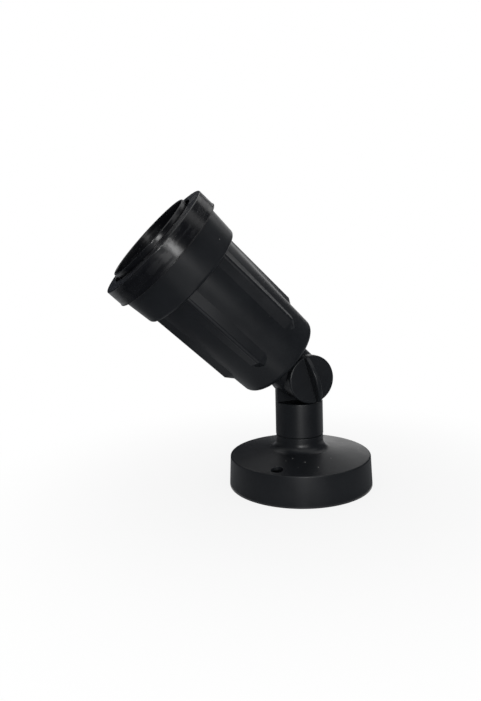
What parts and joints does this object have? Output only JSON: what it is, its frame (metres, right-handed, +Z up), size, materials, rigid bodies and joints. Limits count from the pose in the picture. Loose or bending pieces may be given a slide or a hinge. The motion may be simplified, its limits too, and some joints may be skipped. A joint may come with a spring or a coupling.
{
  "type": "landscape spotlight",
  "caption": "Black plastic garden spotlight: ribbed lamp head with a flanged front ring, tilting on a knob-clamped knuckle and swivelling stem over a round screw-down base.",
  "frame": {"origin": "middle of the base's underside, at the centre of the fixing-hole circle", "axes": "+Z up along the stem's swivel axis, Y along the knuckle's hinge with the clamp knob on the -Y side, the head points towards -X and up"},
  "size_m": [0.1761, 0.1, 0.1987],
  "materials": {
    "moulded_black": "satin moulded thermoplastic with a fine spark-eroded texture",
    "ring_rubber": "smooth glossy moulded silicone rubber with handling smudges",
    "seal_rubber": "matt moulded rubber",
    "terminal_nylon": "natural moulded nylon",
    "holder_plastic": "moulded phenolic",
    "lead_sleeve": "silicone insulated wire",
    "brass_contact": "plain pressed brass",
    "zinc_steel": "bright zinc plate",
    "lamp_mirror": "aluminised reflector",
    "lamp_glass": "clear pressed glass"
  },
  "bodies": {
    "base": {"base_canopy": "moulded_black", "base_seal": "seal_rubber", "terminal_block": "terminal_nylon", "terminal_sleeves": "brass_contact", "terminal_screws": "zinc_steel", "block_screw": "zinc_steel"},
    "stem": {"lower_stem": "moulded_black", "swivel_o_ring": "seal_rubber", "swivel_washer": "zinc_steel", "swivel_nut": "moulded_black", "clamp_nut": "zinc_steel", "hinge_bush": "brass_contact", "hinge_seal": "seal_rubber"},
    "head": {"knuckle_arm": "moulded_black", "arm_seal": "seal_rubber", "arm_lock_nut": "moulded_black", "head_body": "moulded_black", "front_collar": "moulded_black", "front_ring": "ring_rubber", "holder_strap": "zinc_steel", "strap_screws": "zinc_steel", "lampholder": "holder_plastic", "holder_screws": "zinc_steel", "holder_shell": "brass_contact", "holder_contact": "brass_contact", "lamp_leads": "lead_sleeve", "lamp_reflector": "lamp_mirror", "lamp_lens": "lamp_glass", "lamp_capsule": "lamp_glass", "lamp_cap": "brass_contact", "lamp_insulator": "holder_plastic", "lamp_tip": "brass_contact"},
    "knob": {"clamp_knob": "moulded_black", "knob_stud": "zinc_steel", "knob_washer": "zinc_steel"}
  },
  "joints": [
    {"name": "stem_swivel", "type": "hinge", "parent": "base", "child": "stem", "pos_m": [0, 0, 0.0353], "axis": [0, 0, 1], "range_deg": [-165, 165]},
    {"name": "head_tilt", "type": "hinge", "parent": "stem", "child": "head", "pos_m": [0, 0, 0.0762], "axis": [0, 1, 0], "range_deg": [-38.4, 131.6]},
    {"name": "knob_turn", "type": "hinge", "parent": "stem", "child": "knob", "pos_m": [0, -0.018, 0.0762], "axis": [0, -1, 0], "range_deg": [0, 180]}
  ]
}
